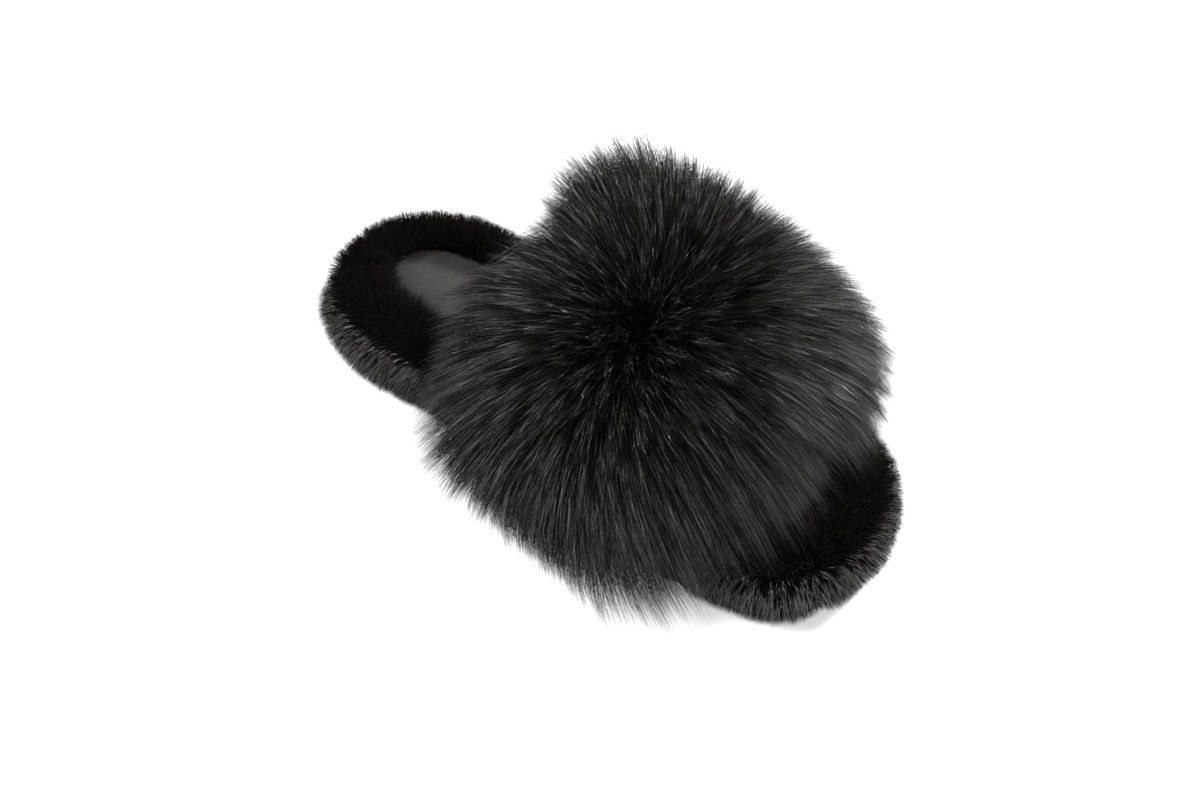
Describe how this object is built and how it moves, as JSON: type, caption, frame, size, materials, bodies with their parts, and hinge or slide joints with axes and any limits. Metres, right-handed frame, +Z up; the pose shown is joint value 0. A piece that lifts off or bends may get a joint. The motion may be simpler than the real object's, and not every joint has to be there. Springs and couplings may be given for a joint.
{
  "type": "fluffy house slipper",
  "caption": "Open-heel slip-on house slipper with a long-haired fur vamp over a suede footbed, edged all round by a padded roll of short fur on a flat sole.",
  "frame": {"origin": "on the floor, under the middle of the slipper's outer box", "axes": "+Z up, +Y towards the heel, -Y towards the toe, +X across, towards the outer side of a left foot"},
  "size_m": [0.17, 0.276, 0.143],
  "materials": {
    "long_fur": "long glossy black guard hair over dense underfur",
    "short_fur": "short dense black pile, velvety on top and shiny on its sides",
    "suede": "fine napped warm grey suede",
    "lining_cloth": "brushed knit",
    "padding_foam": "open-cell foam",
    "board": "pressed fibre board",
    "midsole_foam": "closed-cell foam, fine skin",
    "sole_rubber": "matt moulded rubber",
    "binding_tape": "ribbed woven tape",
    "thread": "twisted sewing thread"
  },
  "bodies": {
    "root": {"outsole": "sole_rubber", "midsole": "midsole_foam", "insole_board": "board", "footbed_foam": "padding_foam", "sock_lining": "suede", "sock_stitching": "thread", "rim_padding": "padding_foam", "rim_fur_right": "short_fur", "rim_fur_left": "short_fur", "toe_seam_thread": "thread", "heel_seam_thread": "thread", "vamp_lining": "lining_cloth", "vamp_interlining": "padding_foam", "vamp_fur": "long_fur", "vamp_rear_binding": "binding_tape", "vamp_front_binding": "binding_tape", "vamp_rear_stitching": "thread", "vamp_front_stitching": "thread"}
  },
  "joints": []
}
